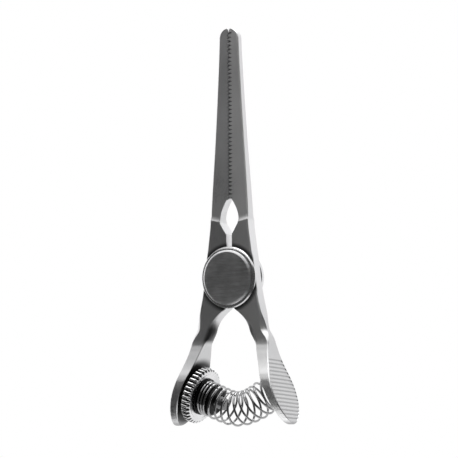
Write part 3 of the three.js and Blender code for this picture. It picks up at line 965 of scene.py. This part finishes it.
def build_stud():
    length = THREAD_END - THREAD_START
    profile = [(0, -1.1), (STUD_RADIUS - 0.3, -1.1), (STUD_RADIUS - 0.15, -1.0)]
    profile += [
        (STUD_RADIUS, THREAD_START + length * i / THREAD_STEPS) for i in range(THREAD_STEPS + 1)
    ]
    profile += [(STUD_RADIUS - 0.26, 8.2), (STUD_RADIUS - 0.36, 8.28), (0, 8.3)]
    return lathe(
        "adjusting_stud", profile, "stud", STUD_FOOT, STUD_AXIS, segments=64, edge=0, shape=thread,
    )


def build_adjuster():
    """The wheel, collar and stud on the left plate and the spring seat on the right one."""
    return {
        "adjusting_wheel": build_wheel(),
        "spring_collar": build_collar(),
        "adjusting_stud": build_stud(),
        "spring_seat": lathe("spring_seat", SEAT, "bright", SEAT_FOOT, SEAT_AXIS, edge=0.07),
    }


# --- spring --------------------------------------------------------------------------------------------
WIRE_RADIUS = 0.225
COIL_RADIUS = 3.32
CLOSED_TURNS = 2.5
OPEN_TURNS = 9.5
END_TURNS = 1.0
CLOSED_PITCH = 0.7
# The wire is cut in two at the last point left of this x.
SPLIT_X = -1.5
WIRE_SIDES = 12
STEPS_PER_TURN = 40
LINE_STEPS = 60
TUBE_END_LENGTH = 0.3
TUBE_END_SIZE = 0.7
COLLAR_CLEARANCE = 0.03
SEAT_CLEARANCE = 0.08


def spring_line():
    """Points, in metres, along the bowed line that the coils follow, a smooth curve through seven knots."""
    start = COLLAR_START + COLLAR_FLANGE_THICKNESS + WIRE_RADIUS + COLLAR_CLEARANCE
    end = SEAT_FLANGE_TOP + WIRE_RADIUS + SEAT_CLEARANCE
    knots = [
        STUD_FOOT + STUD_AXIS * start * MM,
        STUD_FOOT + STUD_AXIS * (start + 1.5) * MM,
        PIVOT + Vector((-2.5, 0, -25.35)) * MM,
        PIVOT + Vector((0.9, 0, -26.2)) * MM,
        PIVOT + Vector((4.6, 0, -25.3)) * MM,
        SEAT_FOOT + SEAT_AXIS * (end + 0.9) * MM,
        SEAT_FOOT + SEAT_AXIS * end * MM,
    ]
    knots = [knots[0] * 2 - knots[1]] + knots + [knots[-1] * 2 - knots[-2]]
    dense = []
    for a, b, c, d in zip(knots, knots[1:], knots[2:], knots[3:]):
        t1 = (b - a).length ** 0.5
        t2 = t1 + (c - b).length ** 0.5
        t3 = t2 + (d - c).length ** 0.5
        for i in range(LINE_STEPS):
            t = t1 + (t2 - t1) * i / LINE_STEPS
            a1 = a * ((t1 - t) / t1) + b * (t / t1)
            a2 = b * ((t2 - t) / (t2 - t1)) + c * ((t - t1) / (t2 - t1))
            a3 = c * ((t3 - t) / (t3 - t2)) + d * ((t - t2) / (t3 - t2))
            b1 = a1 * ((t2 - t) / t2) + a2 * (t / t2)
            b2 = a2 * ((t3 - t) / (t3 - t1)) + a3 * ((t - t1) / (t3 - t1))
            dense.append(b1 * ((t2 - t) / (t2 - t1)) + b2 * ((t - t1) / (t2 - t1)))
    dense.append(knots[-2])
    return dense


def spring_points():
    """The wire's own centre line: coils round the bowed line, close together at both ends."""
    dense = spring_line()
    lengths = [0.0]
    for a, b in zip(dense, dense[1:]):
        lengths.append(lengths[-1] + (b - a).length)
    total = lengths[-1] / MM
    open_pitch = (total - (CLOSED_TURNS + END_TURNS) * CLOSED_PITCH) / OPEN_TURNS
    turns = CLOSED_TURNS + OPEN_TURNS + END_TURNS
    count = int(turns * STEPS_PER_TURN)
    points, k = [], 0
    for i in range(count + 1):
        turn = turns * i / count
        along = min(turn, CLOSED_TURNS) * CLOSED_PITCH
        along += min(max(turn - CLOSED_TURNS, 0), OPEN_TURNS) * open_pitch
        along += max(turn - CLOSED_TURNS - OPEN_TURNS, 0) * CLOSED_PITCH
        along = min(along * MM, lengths[-1])
        while k < len(dense) - 2 and lengths[k + 1] < along:
            k += 1
        share = (along - lengths[k]) / (lengths[k + 1] - lengths[k])
        centre = dense[k].lerp(dense[k + 1], share)
        near, far = max(k - 2, 0), min(k + 3, len(dense) - 1)
        tangent = (dense[far] - dense[near]).normalized()
        up = Vector((-tangent.z, 0, tangent.x))
        angle = 2 * math.pi * turn
        points.append(
            centre + up * COIL_RADIUS * MM * math.cos(angle)
            + Vector((0, -COIL_RADIUS * MM * math.sin(angle), 0))
        )
    return points


def tube(name, points, radius, sides, material):
    """A round tube along points, with slightly rounded ends."""
    last = len(points) - 1
    tangents = [
        (points[min(i + 1, last)] - points[max(i - 1, 0)]).normalized() for i in range(last + 1)
    ]
    normal = tangents[0].orthogonal().normalized()
    stations = [(points[0] - tangents[0] * radius * TUBE_END_LENGTH, tangents[0], TUBE_END_SIZE)]
    stations += [(p, t, 1.0) for p, t in zip(points, tangents)]
    stations += [(points[-1] + tangents[-1] * radius * TUBE_END_LENGTH, tangents[-1], TUBE_END_SIZE)]
    rings = []
    for point, tangent, size in stations:
        normal = (normal - tangent * normal.dot(tangent)).normalized()
        side = tangent.cross(normal)
        rings.append([
            point + (normal * math.cos(2 * math.pi * i / sides) + side * math.sin(2 * math.pi * i / sides))
            * radius * size
            for i in range(sides)
        ])
    return new_object(name, *lofted(rings), [material], sharp=50)


def build_spring():
    """Two pieces of wire that meet in one turn."""
    points = spring_points()
    split = max(i for i, p in enumerate(points) if p.x < SPLIT_X * MM)
    left = tube("spring_left_turns", points[:split + 1], WIRE_RADIUS * MM, WIRE_SIDES, "wire")
    right = tube("spring_right_turns", points[split:], WIRE_RADIUS * MM, WIRE_SIDES, "wire")
    for piece in (left, right):
        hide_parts("tension_spring")
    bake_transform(left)
    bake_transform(right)


# --- floor and light -------------------------------------------------------------------------------------


def stage_material(name, colour, strength=0.0):
    material = bpy.data.materials.new(name)
    material.use_nodes = True
    shader = material.node_tree.nodes["Principled BSDF"]
    shader.inputs["Base Color"].default_value = (*colour, 1)
    shader.inputs["Roughness"].default_value = 0.9
    shader.inputs["Emission Color"].default_value = WHITE
    shader.inputs["Emission Strength"].default_value = strength
    return material


def stage_object(name, vertices, faces, material):
    mesh = bpy.data.meshes.new(name)
    mesh.from_pydata(vertices, [], faces)
    mesh.materials.append(material)
    made = bpy.data.objects.new(name, mesh)
    bpy.context.scene.collection.objects.link(made)
    return made


# Metres, and degrees round the clamp from straight in front, positive to the right.
WHITE = (1, 1, 1, 1)
BLACK = (0, 0, 0)
FLOOR_DROP = 0.03
FLOOR_RADIUS = 1.2
LOW_FLAG_LEFT = -0.6
LOW_FLAG_RIGHT = -0.018
LOW_FLAG_NEAR = -0.6
LOW_FLAG_FAR = -0.008
FLAG_RADIUS = 1.6
FLAG_FROM = -76
FLAG_TO = 122
FLAG_LOW = -2.0
FLAG_HIGH = 1.08
FLAG_GLOW = 0.05
FLAG_STEPS = 40
TOP_LIGHT_PLACE = (0.1, 0.2, 1.1)
TOP_LIGHT_SIZE = 0.9
TOP_LIGHT_POWER = 9


def disc(radius, z, count=64):
    ring = [
        (radius * math.cos(2 * math.pi * i / count), radius * math.sin(2 * math.pi * i / count), z)
        for i in range(count)
    ]
    return ring, [tuple(range(count))]


def reflected_only(card):
    """A card that lights the metal's reflections and stands in nothing else's way."""
    card.visible_camera = False
    card.visible_diffuse = False
    card.visible_shadow = False


def make_floor(low):
    floor = stage_object("floor", *disc(FLOOR_RADIUS, low), stage_material("pale_floor", (0.9, 0.9, 0.9)))
    floor.visible_glossy = False


def make_low_flag(low):
    """A dark card at floor height, left of the clamp and in front of it."""
    corners = [
        (LOW_FLAG_LEFT, LOW_FLAG_NEAR, low), (LOW_FLAG_RIGHT, LOW_FLAG_NEAR, low),
        (LOW_FLAG_RIGHT, LOW_FLAG_FAR, low), (LOW_FLAG_LEFT, LOW_FLAG_FAR, low),
    ]
    material = stage_material("low_flag_grey", BLACK, FLAG_GLOW)
    reflected_only(stage_object("low_flag", corners, [(0, 1, 2, 3)], material))


def make_front_flag():
    """A dark curved wall in front of the clamp, so that the light comes from behind and above."""
    vertices = []
    for i in range(FLAG_STEPS + 1):
        a = math.radians(FLAG_FROM + (FLAG_TO - FLAG_FROM) * i / FLAG_STEPS)
        for z in (FLAG_LOW, FLAG_HIGH):
            vertices.append((FLAG_RADIUS * math.sin(a), -FLAG_RADIUS * math.cos(a), z))
    faces = [(2 * i, 2 * i + 2, 2 * i + 3, 2 * i + 1) for i in range(FLAG_STEPS)]
    material = stage_material("flag_grey", BLACK, FLAG_GLOW)
    reflected_only(stage_object("front_flag", vertices, faces, material))


def make_world():
    world = bpy.data.worlds.new("studio")
    bpy.context.scene.world = world
    world.use_nodes = True
    background = world.node_tree.nodes["Background"]
    background.inputs["Color"].default_value = WHITE
    background.inputs["Strength"].default_value = 1.0


def make_stage():
    low = CAD_BOX[0][2] - FLOOR_DROP
    make_floor(low)
    make_low_flag(low)
    make_front_flag()
    make_world()
    add_light("top_light", TOP_LIGHT_PLACE, TOP_LIGHT_SIZE, TOP_LIGHT_POWER)
    bpy.context.scene.view_settings.view_transform = "Standard"


def add_light(name, place, size, power):
    """A square area light that points at the origin."""
    data = bpy.data.lights.new(name, "AREA")
    data.shape = "SQUARE"
    data.size = size
    data.energy = power
    light = bpy.data.objects.new(name, data)
    light.location = place
    light.rotation_mode = "QUATERNION"
    light.rotation_quaternion = Vector(place).to_track_quat("Z", "Y")
    light.visible_camera = False
    bpy.context.scene.collection.objects.link(light)


# --- assembly ----------------------------------------------------------------------------------------------

make_camera()
make_stage()

BODIES = {"adjusting_wheel": "wheel_body", "spring_collar": "collar_body", "spring_seat": "right_body"}

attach(build_arm("left_arm", 1, -1, -1), "left_body")
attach(build_arm("right_arm", 0, 1, 1), "right_body")
for name, piece in {**build_pivot(), **build_adjuster()}.items():
    even_normals(piece)
    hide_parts(name)
    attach(piece, BODIES.get(name, "left_body"))
build_spring()
